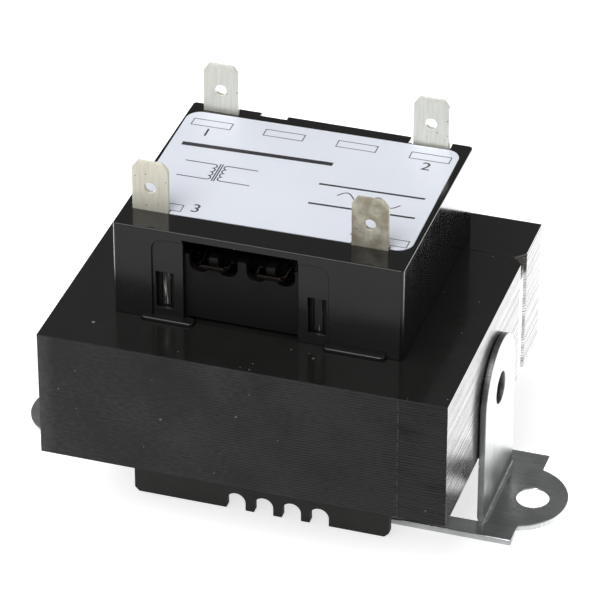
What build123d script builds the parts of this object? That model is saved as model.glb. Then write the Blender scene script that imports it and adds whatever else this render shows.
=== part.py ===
"""Small chassis transformer: laminated core, split bobbin, terminal housing and mounting feet.

Millimetres, +Z up. The origin is the middle of the overall box at the level of the feet's
undersides. The coil's axis runs along Y, and the secondary side faces -Y.
"""
import os

from build123d import *

os.makedirs("parts", exist_ok=True)

# Core sheets
tongue = 23.8
outer_leg = 11.9
window_width = 11.9
window_length = 35.7
yoke = 11.9
sheet_thickness = 0.5
sheet_film = 0.04
sheet_count = 44

# Weld grooves at the joint between the E sheets and the I sheets
groove_half = 2.0
groove_depth = 1.8
bead_half = 1.4
bead_crown = 0.4
bead_crater = 0.9

# Bobbin
coil_x = -0.5
leg_clearance = 0.6
tube_wall = 1.2
end_clearance = 0.4
side_clearance = 0.85
flange_thickness = 1.6
flange_top_margin = 1.0
flange_low_margin = 1.9
coil_clearance = 0.2
flange_chamfer = 0.8
divider_thickness = 1.2
comb_count = 4
comb_pitch = 5.0
comb_slot = 3.4
comb_depth = 3.25
comb_offset = 3.0

# Windings and their tape
tape_thickness = 0.35
tape_inset = 0.5
tape_margin = 1.6
tape_gap = 0.2
winding_corner = 5.0
secondary_wire = 0.9
primary_wire = 0.5
riser_inset = 0.7
lead_bend = 0.9
lead_stand = 0.6
lead_return = 1.6
rear_lead_stand = 1.4
solder_rim = 0.4
solder_height = 0.6
solder_taper = 15

# Terminals
blade_width = 6.35
blade_thickness = 0.8
blade_height = 9.3
blade_hole = 2.0
blade_hole_height = 4.3
blade_gap = 0.1
tip_width = 1.0
tip_height = 1.4
bevel_depth = 0.25
bevel_height = 0.9
tail_width = 1.4
tail_foot = 2.2
bar_height = 3.0
front_setback = 4.2
rear_setback = 3.6
front_left_margin = 0.45
front_right_margin = 3.1
rear_left_margin = 1.3
rear_right_margin = 2.6

# Terminal housing
housing_wall = 1.2
housing_gap = 0.17
housing_side_gap = 1.1
top_plate = 1.4
head_room = 3.2
housing_corner = 0.7
housing_edge = 0.3
panel_width = 5.4
panel_step = 0.4
panel_corner = 2.0
panel_top_gap = 0.6
slot_width = 3.0
slot_edge = 1.8
slot_base = 2.1
slot_height = 6.9
lip_reach = 1.1
lip_thickness = 0.6
lip_corner = 0.9
lip_round = 0.3
short_lip_length = 9.4
short_lip_overhang = 2.0
long_lip_length = 10.9
long_lip_inset = 4.6
open_slot_spare = 0.7
key_notch_width = 4.7
key_notch_depth = 1.1
key_notch_offset = -10.35

# Label
label_thickness = 0.12
label_front_margin = 5.6
label_rear_margin = 2.95
label_left_margin = 0.75
label_right_margin = 1.0
label_turn = 0.8
label_corner = 2.6
label_cut_gap = 0.2

# Mounting feet
plate_thickness = 1.2
foot_width = 26.4
foot_lap = 14.5
foot_reach = 7.1
upright_width = 18.8
upright_height = 32.3
upright_hole = 5.7
bend_radius = 0.8
ear_radius = 9.1
ear_reach = 13.55
ear_hole = 5.6
ear_hole_offset = 3.0
left_foot_y = 1.2
tack_length = 2.8
tack_leg = 0.9
tack_rise = 0.8
tack_step = 4.4

# Derived levels and places
core_length = tongue + 2 * (window_width + outer_leg)
core_depth = window_length + 2 * yoke
sheet_pitch = sheet_thickness + sheet_film
stack_height = sheet_count * sheet_pitch - sheet_film
core_left = -core_length / 2
core_right = core_length / 2
core_front = -core_depth / 2
core_rear = core_depth / 2
window_front = core_front + yoke
window_rear = core_rear - yoke
flange_rise = window_width + flange_top_margin
core_base = coil_clearance + window_width + flange_low_margin
core_top = core_base + stack_height
core_middle = (core_base + core_top) / 2

tube_half_x = tongue / 2 + leg_clearance + tube_wall
tube_half_z = stack_height / 2 + leg_clearance + tube_wall
flange_width = tongue + 2 * window_width - 2 * side_clearance
flange_front = window_front + end_clearance
flange_rear = window_rear - end_clearance
flange_top = core_top + flange_rise
front_section = (flange_front + flange_thickness, -divider_thickness / 2)
rear_section = (divider_thickness / 2, flange_rear - flange_thickness)
winding_half_x = flange_width / 2 - tape_inset - tape_thickness
winding_half_z = tube_half_z + winding_half_x - tube_half_x
winding_top = core_middle + winding_half_z
lead_level = flange_top - comb_depth + comb_slot / 2

plate_under = flange_top + head_room
housing_top = plate_under + top_plate
housing_half = flange_width / 2 + housing_side_gap + housing_wall
housing_front = flange_front - housing_gap - housing_wall
front_blade = flange_front + front_setback
rear_blade = flange_rear + rear_setback
housing_rear = rear_blade + blade_thickness + blade_gap + housing_wall
inner_left = coil_x - housing_half + housing_wall
inner_right = coil_x + housing_half - housing_wall
front_left_x = inner_left + front_left_margin + blade_width / 2
front_right_x = inner_right - front_right_margin - blade_width / 2
rear_left_x = inner_left + rear_left_margin + blade_width / 2
rear_right_x = inner_right - rear_right_margin - blade_width / 2

comb_width = comb_count * comb_pitch
front_comb_x = coil_x - comb_offset
rear_comb_x = coil_x + comb_offset
tail_reach = comb_width / 2 + slot_edge + slot_width / 2
front_tails = (front_comb_x - tail_reach, front_comb_x + tail_reach)
rear_tails = (rear_comb_x - tail_reach, rear_comb_x + tail_reach)

ear_x = core_right + ear_reach - ear_radius
bend_outside = bend_radius + plate_thickness
bend_x = core_right + bend_outside
upright_arch = upright_height - upright_width / 2


def facing(y):
    """Plane across the coil's axis at this Y, with X and Z as its own axes."""
    return Plane.XZ.offset(-y)


def comb_places(centre):
    """X of each slot of a comb."""
    first = centre - (comb_count - 1) * comb_pitch / 2
    return [first + number * comb_pitch for number in range(comb_count)]


# Laminated core
sheet_planes = [Plane.XY.offset(core_base + number * sheet_pitch) for number in range(sheet_count)]
leg_inside = core_length / 2 - outer_leg

with BuildPart() as e_laminations:
    with BuildSketch(*sheet_planes):
        with BuildLine():
            Polyline(
                (core_left, core_front),
                (core_right, core_front),
                (core_right, window_rear - groove_half),
                (core_right - groove_depth, window_rear),
                (leg_inside, window_rear),
                (leg_inside, window_front),
                (tongue / 2, window_front),
                (tongue / 2, window_rear),
                (-tongue / 2, window_rear),
                (-tongue / 2, window_front),
                (-leg_inside, window_front),
                (-leg_inside, window_rear),
                (core_left + groove_depth, window_rear),
                (core_left, window_rear - groove_half),
                close=True,
            )
        make_face()
    extrude(amount=sheet_thickness)

with BuildPart() as i_laminations:
    with BuildSketch(*sheet_planes):
        with BuildLine():
            Polyline(
                (core_left + groove_depth, window_rear),
                (core_right - groove_depth, window_rear),
                (core_right, window_rear + groove_half),
                (core_right, core_rear),
                (core_left, core_rear),
                (core_left, window_rear + groove_half),
                close=True,
            )
        make_face()
    extrude(amount=sheet_thickness)


def weld_bead(face_x, side):
    """Bead that fills the groove on one side face and stops in a crater below the top sheet."""
    root_x = face_x - side * groove_depth
    shoulder_x = root_x + side * groove_depth * bead_half / groove_half
    with BuildPart() as bead:
        with BuildSketch(Plane.XY.offset(core_base)):
            with BuildLine():
                Line((root_x, window_rear), (shoulder_x, window_rear - bead_half))
                ThreePointArc(
                    (shoulder_x, window_rear - bead_half),
                    (shoulder_x + side * bead_crown, window_rear),
                    (shoulder_x, window_rear + bead_half),
                )
                Line((shoulder_x, window_rear + bead_half), (root_x, window_rear))
            make_face()
        extrude(amount=stack_height - bead_crater)
    return bead


weld_bead_right = weld_bead(core_right, 1)
weld_bead_left = weld_bead(core_left, -1)

# Bobbin with three flanges, combed at both ends
with BuildPart() as bobbin:
    with BuildSketch(facing(flange_front)):
        with Locations((coil_x, core_middle)):
            Rectangle(2 * tube_half_x, 2 * tube_half_z)
    extrude(amount=flange_front - flange_rear)
    flanges = [
        (flange_front, flange_thickness, front_comb_x, rear_comb_x),
        (-divider_thickness / 2, divider_thickness, None, None),
        (flange_rear - flange_thickness, flange_thickness, rear_comb_x, front_comb_x),
    ]
    for flange_y, thickness, top_comb_x, low_comb_x in flanges:
        with BuildSketch(facing(flange_y)) as flange:
            with Locations((coil_x, (coil_clearance + flange_top) / 2)):
                Rectangle(flange_width, flange_top - coil_clearance)
            chamfer(flange.vertices(), flange_chamfer)
            if top_comb_x is not None:
                low_level = coil_clearance + comb_depth - comb_slot / 2
                for comb_x, round_z, edge_z in [
                    (top_comb_x, lead_level, flange_top),
                    (low_comb_x, low_level, coil_clearance),
                ]:
                    for slot_x in comb_places(comb_x):
                        with Locations((slot_x, round_z)):
                            Circle(comb_slot / 2, mode=Mode.SUBTRACT)
                        with Locations((slot_x, (round_z + edge_z) / 2)):
                            Rectangle(comb_slot, abs(edge_z - round_z), mode=Mode.SUBTRACT)
        extrude(amount=-thickness)
    with BuildSketch(facing(flange_front)):
        with Locations((coil_x, core_middle)):
            Rectangle(2 * (tube_half_x - tube_wall), 2 * (tube_half_z - tube_wall))
    extrude(amount=flange_front - flange_rear, mode=Mode.SUBTRACT)
    # Channels that hold the tails of the front terminals
    with BuildSketch(facing(flange_front)):
        channel_height = flange_rise - tail_foot + blade_gap
        with Locations(*[(x, flange_top - channel_height / 2) for x in front_tails]):
            Rectangle(tail_width + 2 * blade_gap, channel_height)
    extrude(amount=-blade_thickness - blade_gap, mode=Mode.SUBTRACT)


def coil_ring(section, half_x, half_z, inner_x, inner_z, corner, inner_corner):
    """Rectangular ring round the bobbin's tube, over one stretch of Y."""
    with BuildPart() as ring:
        with BuildSketch(facing(section[0])):
            with Locations((coil_x, core_middle)):
                RectangleRounded(2 * half_x, 2 * half_z, corner)
                if inner_corner:
                    RectangleRounded(2 * inner_x, 2 * inner_z, inner_corner, mode=Mode.SUBTRACT)
                else:
                    Rectangle(2 * inner_x, 2 * inner_z, mode=Mode.SUBTRACT)
        extrude(amount=section[0] - section[1])
    return ring


def winding(section, routes, wire):
    """Winding of one section with its two ends led out along the routes."""
    ring = coil_ring(section, winding_half_x, winding_half_z, tube_half_x, tube_half_z, winding_corner, 0)
    with BuildPart() as coil:
        add(ring.part)
        for route in routes:
            with BuildLine() as path:
                FilletPolyline(*route, radius=lead_bend)
            with BuildSketch(Plane(origin=path.line @ 0, z_dir=path.line % 0)):
                Circle(wire / 2)
            sweep(path=path.line)
    return coil


front_comb = comb_places(front_comb_x)
rear_comb = comb_places(rear_comb_x)
front_riser = front_section[0] + riser_inset
rear_riser = rear_section[1] - riser_inset
riser_root = winding_top - lead_bend
web_under = plate_under - blade_thickness
front_lead_y = flange_front - lead_stand
front_return_y = front_section[0] + lead_return
rear_lead_y = flange_rear + rear_lead_stand


def front_route(first_x, next_x, end_x):
    """Out through one slot of the comb, back through the next and up to the terminal's web."""
    return [
        (first_x, front_riser, riser_root),
        (first_x, front_riser, lead_level),
        (first_x, front_lead_y, lead_level),
        (next_x, front_lead_y, lead_level),
        (next_x, front_return_y, lead_level),
        (end_x, front_return_y, lead_level),
        (end_x, front_return_y, web_under),
    ]


def rear_route(slot_x, end_x):
    """Out through one slot of the comb and across to the terminal's tail."""
    return [
        (slot_x, rear_riser, riser_root),
        (slot_x, rear_riser, lead_level),
        (slot_x, rear_lead_y, lead_level),
        (end_x, rear_lead_y, lead_level),
        (end_x, rear_blade, lead_level),
    ]


secondary_routes = [
    front_route(front_comb[1], front_comb[0], front_tails[0]),
    front_route(front_comb[-2], front_comb[-1], front_tails[1]),
]
primary_routes = [
    rear_route(rear_comb[0], rear_tails[0]),
    rear_route(rear_comb[-1], rear_tails[1]),
]
secondary_winding = winding(front_section, secondary_routes, secondary_wire)
primary_winding = winding(rear_section, primary_routes, primary_wire)


def tape_wrap(section):
    """Tape round a winding."""
    return coil_ring(
        section,
        winding_half_x + tape_thickness,
        winding_half_z + tape_thickness,
        winding_half_x,
        winding_half_z,
        winding_corner + tape_thickness,
        winding_corner,
    )


secondary_wrap = tape_wrap((front_section[0] + tape_margin, front_section[1] - tape_gap))
primary_wrap = tape_wrap((rear_section[0] + tape_gap, rear_section[1] - tape_margin))


# Terminals: quick-connect blades with webs or bars under the housing's top plate
def blade_outline(blade_x, foot):
    """Points of a blade with its narrowed tip, as X and Z."""
    half = blade_width / 2
    tip = housing_top + blade_height
    return [
        (blade_x - half, foot),
        (blade_x + half, foot),
        (blade_x + half, tip - tip_height),
        (blade_x + half - tip_width, tip),
        (blade_x - half + tip_width, tip),
        (blade_x - half, tip - tip_height),
    ]


def tip_bevels(face_y):
    """The two slivers cut off a blade's tip so that it leads into its socket, as Y and Z."""
    tip = housing_top + blade_height
    back_y = face_y + blade_thickness
    return [
        [(face_y, tip), (face_y + bevel_depth, tip), (face_y, tip - bevel_height)],
        [(back_y, tip), (back_y - bevel_depth, tip), (back_y, tip - bevel_height)],
    ]


def terminal(blade_x, face_y, tail_x, bent):
    """One terminal: a bent one has its tail in the bobbin's front flange, a flat one hangs straight."""
    half = blade_width / 2
    low_x = min(blade_x - half, tail_x - tail_width / 2)
    high_x = max(blade_x + half, tail_x + tail_width / 2)
    tail_top = plate_under
    tail_low = core_top + tail_foot
    with BuildPart() as piece:
        with BuildSketch(facing(face_y)):
            with BuildLine():
                Polyline(*blade_outline(blade_x, web_under), close=True)
            make_face()
            with Locations((blade_x, housing_top + blade_hole_height)):
                Circle(blade_hole / 2, mode=Mode.SUBTRACT)
            if not bent:
                with Locations(((low_x + high_x) / 2, plate_under - bar_height / 2)):
                    Rectangle(high_x - low_x, bar_height)
        extrude(amount=-blade_thickness)
        for bevel in tip_bevels(face_y):
            with BuildSketch(Plane.YZ.offset(blade_x - half)):
                with BuildLine():
                    Polyline(*bevel, close=True)
                make_face()
            extrude(amount=blade_width, mode=Mode.SUBTRACT)
        if bent:
            web_depth = face_y + blade_thickness - flange_front
            with BuildSketch(Plane.XY.offset(web_under)):
                with Locations(((low_x + high_x) / 2, flange_front + web_depth / 2)):
                    Rectangle(high_x - low_x, web_depth)
            extrude(amount=blade_thickness)
        with BuildSketch(facing(flange_front if bent else face_y)):
            with Locations((tail_x, (tail_low + tail_top) / 2)):
                Rectangle(tail_width, tail_top - tail_low)
        extrude(amount=-blade_thickness)
    return piece


secondary_left_terminal = terminal(front_left_x, front_blade, front_tails[0], True)
secondary_right_terminal = terminal(front_right_x, front_blade, front_tails[1], True)
primary_left_terminal = terminal(rear_left_x, rear_blade, rear_tails[0], False)
primary_right_terminal = terminal(rear_right_x, rear_blade, rear_tails[1], False)

# Solder round the four lead ends
with BuildPart() as solder_joints:
    solder_places = []
    for tail_x in front_tails:
        solder_places.append((Plane((tail_x, front_return_y, web_under), z_dir=(0, 0, -1)), secondary_wire))
    for tail_x in rear_tails:
        solder_places.append((Plane((tail_x, rear_blade, lead_level), z_dir=(0, -1, 0)), primary_wire))
    for seat, wire in solder_places:
        with BuildSketch(seat):
            Circle(wire / 2 + solder_rim)
            Circle(wire / 2, mode=Mode.SUBTRACT)
        extrude(amount=solder_height, taper=solder_taper)
        with BuildSketch(seat):
            Circle(wire / 2)
        extrude(amount=solder_height, mode=Mode.SUBTRACT)

# Terminal housing
housing_depth = housing_rear - housing_front
housing_y = (housing_front + housing_rear) / 2
skirt_height = plate_under - core_top
housing_sides = [
    (housing_front, 1, front_comb_x),
    (housing_rear, -1, rear_comb_x),
]

with BuildPart() as terminal_housing:
    with BuildSketch(Plane.XY.offset(core_top)):
        with Locations((coil_x, housing_y)):
            RectangleRounded(2 * housing_half, housing_depth, housing_corner)
    extrude(amount=housing_top - core_top)
    fillet(terminal_housing.faces().sort_by(Axis.Z)[-1].edges(), housing_edge)
    with BuildSketch(Plane.XY.offset(core_top)):
        with Locations((coil_x, housing_y)):
            Rectangle(2 * (housing_half - housing_wall), housing_depth - 2 * housing_wall)
    extrude(amount=skirt_height, mode=Mode.SUBTRACT)
    for wall_y, inward, comb_x in housing_sides:
        # Open middle of the wall, in front of the comb
        with BuildSketch(facing(wall_y)):
            with Locations((comb_x, core_top + skirt_height / 2)):
                Rectangle(comb_width, skirt_height)
        extrude(amount=-inward * housing_wall, mode=Mode.SUBTRACT)
        for side in (-1, 1):
            leg_x = comb_x + side * comb_width / 2
            # Sunk panel beside the opening, with one rounded corner
            panel_top = plate_under - panel_top_gap
            far_x = leg_x + side * panel_width
            with BuildSketch(facing(wall_y)):
                with BuildLine():
                    Polyline(
                        (far_x, panel_top - panel_corner),
                        (far_x, core_top),
                        (leg_x, core_top),
                        (leg_x, panel_top),
                        (far_x - side * panel_corner, panel_top),
                    )
                    RadiusArc(
                        (far_x - side * panel_corner, panel_top),
                        (far_x, panel_top - panel_corner),
                        side * panel_corner,
                    )
                make_face()
            extrude(amount=-inward * panel_step, mode=Mode.SUBTRACT)
            # Window that shows the terminal's tail
            slot_x = leg_x + side * (slot_edge + slot_width / 2)
            with BuildSketch(facing(wall_y)):
                with Locations((slot_x, core_top + slot_base + slot_height / 2)):
                    Rectangle(slot_width, slot_height)
            extrude(amount=-inward * housing_wall, mode=Mode.SUBTRACT)
        # Foot lips: one reaches past its leg, the other stays under it
        short_lip_place = comb_width / 2 - short_lip_overhang + short_lip_length / 2
        long_lip_place = comb_width / 2 + long_lip_inset + long_lip_length / 2
        lips = [
            (comb_x - inward * short_lip_place, short_lip_length),
            (comb_x + inward * long_lip_place, long_lip_length),
        ]
        lip_depth = lip_reach + housing_wall
        for lip_x, lip_length in lips:
            with BuildSketch(Plane.XY.offset(core_top)):
                with Locations((lip_x, wall_y + inward * (housing_wall - lip_depth / 2))):
                    RectangleRounded(lip_length, lip_depth, lip_corner)
            extrude(amount=lip_thickness)
    lip_top = core_top + lip_thickness
    rims = terminal_housing.edges().filter_by_position(Axis.Z, lip_top, lip_top)
    rims = [rim for rim in rims if abs(rim.center().Y - housing_y) > housing_depth / 2 + lip_round]
    fillet(rims, lip_round)
    # Slots for the blades, the last one open towards the rear
    with BuildSketch(Plane.XY.offset(plate_under)):
        for blade_x, blade_y in [
            (front_left_x, front_blade),
            (front_right_x, front_blade),
            (rear_left_x, rear_blade),
            (rear_right_x, rear_blade),
        ]:
            with Locations((blade_x, blade_y + blade_thickness / 2)):
                Rectangle(blade_width + 2 * blade_gap, blade_thickness + 2 * blade_gap)
        open_depth = housing_rear - rear_blade
        open_width = blade_width + 2 * blade_gap + open_slot_spare
        with Locations((rear_right_x - open_slot_spare / 2, rear_blade + open_depth / 2)):
            Rectangle(open_width, open_depth)
        with Locations((coil_x + key_notch_offset, housing_rear - key_notch_depth / 2)):
            Rectangle(key_notch_width, key_notch_depth)
    extrude(amount=top_plate, mode=Mode.SUBTRACT)

# Label on the housing's top, cut out round the front blades
label_left = coil_x - housing_half + label_left_margin
label_right = coil_x + housing_half - label_right_margin
label_front = housing_front + label_front_margin
label_rear = housing_rear - label_rear_margin
cut_rear = front_blade + blade_thickness + label_cut_gap
label_cut = cut_rear - housing_front

with BuildPart() as rating_label:
    with BuildSketch(Plane.XY.offset(housing_top)):
        label_width = label_right - label_left
        label_depth = label_rear - label_front
        with Locations((label_left + label_width / 2, label_front + label_depth / 2)):
            RectangleRounded(label_width, label_depth, label_corner, rotation=label_turn)
        with Locations(*[(x, cut_rear - label_cut / 2) for x in (front_left_x, front_right_x)]):
            Rectangle(blade_width + 2 * label_cut_gap, label_cut, mode=Mode.SUBTRACT)
    extrude(amount=label_thickness)


# Mounting feet
def foot(middle_y, arms):
    """Bracket on the right: an ear, a tongue bent up against the core's side, and arms or none."""
    with BuildPart() as bracket:
        with BuildSketch(Plane.XY):
            with Locations((ear_x, middle_y)):
                Circle(ear_radius)
            with Locations(((bend_x + ear_x) / 2, middle_y)):
                Rectangle(ear_x - bend_x, 2 * ear_radius)
            if arms:
                with Locations((core_right + (foot_reach - foot_lap) / 2, middle_y)):
                    Rectangle(foot_lap + foot_reach, foot_width)
            arm_gap = foot_lap + bend_outside
            with Locations((bend_x - arm_gap / 2, middle_y)):
                Rectangle(arm_gap, upright_width, mode=Mode.SUBTRACT)
            with Locations((ear_x + ear_hole_offset, middle_y)):
                Circle(ear_hole / 2, mode=Mode.SUBTRACT)
        extrude(amount=plate_thickness)
        with BuildSketch(facing(middle_y - upright_width / 2)):
            with BuildLine():
                Line((bend_x, 0), (bend_x, plate_thickness))
                CenterArc((bend_x, bend_outside), bend_radius, 180, 90)
                Polyline(
                    (core_right + plate_thickness, bend_outside),
                    (core_right + plate_thickness, upright_arch),
                    (core_right, upright_arch),
                    (core_right, bend_outside),
                )
                CenterArc((bend_x, bend_outside), bend_outside, 180, 90)
            make_face()
        extrude(amount=-upright_width)
        with BuildSketch(Plane.YZ.offset(core_right)):
            with Locations((middle_y, upright_arch)):
                Circle(upright_width / 2)
        extrude(amount=plate_thickness)
        with BuildSketch(Plane.YZ.offset(core_right)):
            with Locations((middle_y, upright_arch)):
                Circle(upright_hole / 2)
        extrude(amount=plate_thickness, mode=Mode.SUBTRACT)
    return bracket


right_foot = foot(0, True)
with BuildPart() as left_foot:
    add(foot(left_foot_y, False).part.mirror(Plane.YZ))

# Tack welds between the tongues' rear edges and the core's sides
with BuildPart() as plate_tacks:
    for side, middle_y in ((1, 0), (-1, left_foot_y)):
        face_x = side * core_right
        tack_x = face_x + side * tack_leg
        tongue_edge = middle_y + upright_width / 2
        for tack_base in (core_base + tack_rise, core_base + tack_rise + tack_step):
            with BuildSketch(Plane.XY.offset(tack_base)):
                with BuildLine():
                    Polyline((face_x, tongue_edge + tack_leg), (face_x, tongue_edge), (tack_x, tongue_edge))
                    RadiusArc((tack_x, tongue_edge), (face_x, tongue_edge + tack_leg), -2 * side * tack_leg)
                make_face()
            extrude(amount=tack_length)

pieces = {
    "e_laminations": e_laminations,
    "i_laminations": i_laminations,
    "weld_bead_right": weld_bead_right,
    "weld_bead_left": weld_bead_left,
    "bobbin": bobbin,
    "primary_winding": primary_winding,
    "secondary_winding": secondary_winding,
    "primary_wrap": primary_wrap,
    "secondary_wrap": secondary_wrap,
    "secondary_left_terminal": secondary_left_terminal,
    "secondary_right_terminal": secondary_right_terminal,
    "primary_left_terminal": primary_left_terminal,
    "primary_right_terminal": primary_right_terminal,
    "solder_joints": solder_joints,
    "terminal_housing": terminal_housing,
    "rating_label": rating_label,
    "right_foot": right_foot,
    "left_foot": left_foot,
    "plate_tacks": plate_tacks,
}
for name, piece in pieces.items():
    piece.part.label = name
    export_step(piece.part, f"parts/{name}.step")
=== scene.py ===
"""Looks of a small chassis transformer, laid out as an add-on.

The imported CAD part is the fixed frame. Each operator dresses one group of its pieces, and the last one
sets up a plain studio with the camera. Sizes of the looks are in millimetres, those of the stage in metres.
"""
import math

import bmesh
import bpy
import numpy as np
from bpy.props import FloatProperty, FloatVectorProperty, IntProperty, PointerProperty
from mathutils import Matrix, Vector


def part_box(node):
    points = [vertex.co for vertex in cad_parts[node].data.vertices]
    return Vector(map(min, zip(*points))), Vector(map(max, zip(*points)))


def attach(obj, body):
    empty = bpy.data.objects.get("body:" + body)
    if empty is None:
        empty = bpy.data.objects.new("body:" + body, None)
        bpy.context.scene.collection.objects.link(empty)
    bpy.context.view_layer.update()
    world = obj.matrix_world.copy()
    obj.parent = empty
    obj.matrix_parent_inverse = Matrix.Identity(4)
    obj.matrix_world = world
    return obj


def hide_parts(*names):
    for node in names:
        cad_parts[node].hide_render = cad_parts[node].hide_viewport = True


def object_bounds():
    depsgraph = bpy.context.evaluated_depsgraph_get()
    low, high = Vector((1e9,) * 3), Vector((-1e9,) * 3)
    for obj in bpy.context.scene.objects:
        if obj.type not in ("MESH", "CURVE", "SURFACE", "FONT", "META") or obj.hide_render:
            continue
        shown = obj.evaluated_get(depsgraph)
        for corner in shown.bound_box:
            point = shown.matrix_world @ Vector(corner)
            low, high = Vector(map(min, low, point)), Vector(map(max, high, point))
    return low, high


bl_info = {
    "name": "Chassis transformer looks",
    "version": (1, 0, 0),
    "blender": (4, 5, 0),
    "location": "View3D > Sidebar > Transformer",
    "description": "Dresses the packed transformer in its finishes and sets up a plain studio",
    "category": "Object",
}

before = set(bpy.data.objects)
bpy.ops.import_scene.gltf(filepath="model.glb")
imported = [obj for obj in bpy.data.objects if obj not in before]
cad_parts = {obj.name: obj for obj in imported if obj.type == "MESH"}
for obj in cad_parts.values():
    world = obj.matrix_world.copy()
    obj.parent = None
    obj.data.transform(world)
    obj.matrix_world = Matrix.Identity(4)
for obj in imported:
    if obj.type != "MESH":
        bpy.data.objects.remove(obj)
CAD_LOW, CAD_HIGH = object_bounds()

MM = 0.001
BODY = "root"
WELD_DISTANCE = 1e-7
FLAT_ANGLE = math.radians(0.4)
SHARP_ANGLE = math.radians(24.0)
CREASE_ANGLE = math.radians(50.0)
MITRE_FLOOR = 0.25

E_LOW, E_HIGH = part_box("e_laminations")

# Places of the core's finishes in its list of materials
TOP, ENDS, SIDES, GROOVE = range(4)

# Places of the print in millimetres from the middle of the label
REAR_BOX_X, REAR_BOX_Y = -19.325, 13.21
FRONT_BOXES = ((-19.075, -14.69), (20.025, -14.69))
COIL_X, COIL_Y = -13.5, -2.0
WAVE_X, WAVE_Y = 8.0, -3.2
BOLD_RULE = ((-22.3, 5.7), (4.4, 6.3))
THIN_RULES = (((4.0, -0.4), (22.4, 0.0)), ((4.0, -6.8), (22.4, -6.4)))
DIGITS = {"1": (-19.375, 10.11), "2": (19.725, 10.11), "3": (-13.375, -14.09), "4": (14.325, -14.09)}

# Lamps one metre from the object, with angles in degrees and sizes in metres
LAMPS = {
    "front_softbox": {"azimuth": -28, "elevation": 56, "size": (0.9, 0.9), "radiance": 3.65},
    "right_softbox": {"azimuth": 80, "elevation": 42, "size": (0.55, 0.55), "radiance": 1.2},
    "left_softbox": {"azimuth": -100, "elevation": 35, "size": (0.55, 0.55), "radiance": 1.0},
    "edge_strip": {"azimuth": -4, "elevation": 52, "size": (0.06, 0.7), "radiance": 18.0},
}


# Properties that a user would change


def colour_property(name, words, value):
    """Colour of a finish as a linear RGB property."""
    return FloatVectorProperty(name=name, description=words, default=value, subtype="COLOR", min=0, max=1)


def length_property(name, words, value):
    """Length in millimetres."""
    return FloatProperty(name=name, description=words, default=value, min=0, precision=3)


def angle_property(name, words, degrees):
    """Angle given in degrees."""
    return FloatProperty(name=name, description=words, default=math.radians(degrees), subtype="ANGLE")


def level_property(name, words, value):
    """Strength of a light."""
    return FloatProperty(name=name, description=words, default=value, min=0)


class CoreLook(bpy.types.PropertyGroup):
    """Sheets, varnish and welds of the core."""

    varnish: colour_property("Varnish", "Black varnish on the core's top and ends", (0.0095, 0.009, 0.0085))
    face: colour_property("Sheet ends", "Bare sheet edges on the front and rear faces", (0.02, 0.02, 0.0196))
    film: colour_property("Film", "Varnish film over the front face", (0.028, 0.028, 0.0277))
    edge: colour_property("Sheet edges", "Varnished edges on the side faces", (0.018, 0.018, 0.0175))
    groove: colour_property("Groove", "Weld metal that has run over the grooves' sides", (0.3, 0.3, 0.293))
    weld: colour_property("Weld", "Weld metal", (0.56, 0.56, 0.55))
    sheet_count: IntProperty(name="Sheets", description="Sheets in the stack", default=44, min=1)
    burr: length_property("Edge round", "Rounding of each sheet's edges in mm", 0.06)
    shift: length_property("Sheet shift", "Largest step of a sheet against its neighbours in mm", 0.025)
    film_room: length_property("Film room", "Distance from the film's outside to the sheets in mm", 0.09)
    film_right: length_property("Film edge", "Bare strip at the right of the front face in mm", 8.3)


class PlasticLook(bpy.types.PropertyGroup):
    """Housing, bobbin and tape."""

    housing: colour_property("Housing", "Glossy black moulding", (0.009, 0.009, 0.0087))
    bobbin: colour_property("Bobbin", "Matt black moulding", (0.054, 0.053, 0.051))
    tape: colour_property("Tape", "Film tape round the windings", (0.012, 0.011, 0.01))
    front_depth: length_property("Front depth", "Depth of the housing's satin front in mm", 1.6)
    housing_round: length_property("Housing edge", "Rounding of the housing's edges in mm", 0.16)
    bobbin_round: length_property("Bobbin edge", "Rounding of the bobbin's edges in mm", 0.12)


class MetalLook(bpy.types.PropertyGroup):
    """Terminals, wire, solder and mounting feet."""

    tin: colour_property("Tin", "Dull tin plating of the blades", (0.78, 0.775, 0.75))
    copper: colour_property("Copper", "Enamelled copper wire, dark with varnish", (0.007, 0.0045, 0.0035))
    solder: colour_property("Solder", "Solder of the lead ends", (0.62, 0.62, 0.63))
    zinc: colour_property("Zinc", "Zinc plating of the mounting feet", (0.6, 0.615, 0.62))
    cut_edge: colour_property("Cut edge", "Sheared edges of the tongues", (0.6, 0.61, 0.6))
    bend_height: length_property("Bend height", "Top of the tongues' bend above the floor in mm", 3.0)
    blade_round: length_property("Blade edge", "Rounding of the blades' edges in mm", 0.07)
    plate_round: length_property("Plate edge", "Rounding of the mounting feet's edges in mm", 0.22)


class LabelLook(bpy.types.PropertyGroup):
    """Printed film on the housing's top."""

    film: colour_property("Film", "Bluish white label film", (0.78, 0.81, 0.885))
    ink: colour_property("Ink", "Black print", (0.03, 0.03, 0.034))
    line: length_property("Line", "Width of the thin printed lines in mm", 0.16)
    symbol_line: length_property("Symbol line", "Width of the symbols' lines in mm", 0.22)
    rule_line: length_property("Rule", "Width of the thin bars in mm", 0.5)
    bold_line: length_property("Bold rule", "Width of the bold bar in mm", 1.1)
    box_width: length_property("Box width", "Width of a terminal box in mm", 7.0)
    box_depth: length_property("Box depth", "Depth of a terminal box in mm", 2.05)
    box_pitch: length_property("Box pitch", "Distance between the boxes of the rear row in mm", 13.0)
    digit_size: length_property("Digit size", "Height of the terminal numbers in mm", 2.6)
    turn: angle_property("Turn", "Turn of the label on the housing", 0.8)


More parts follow.
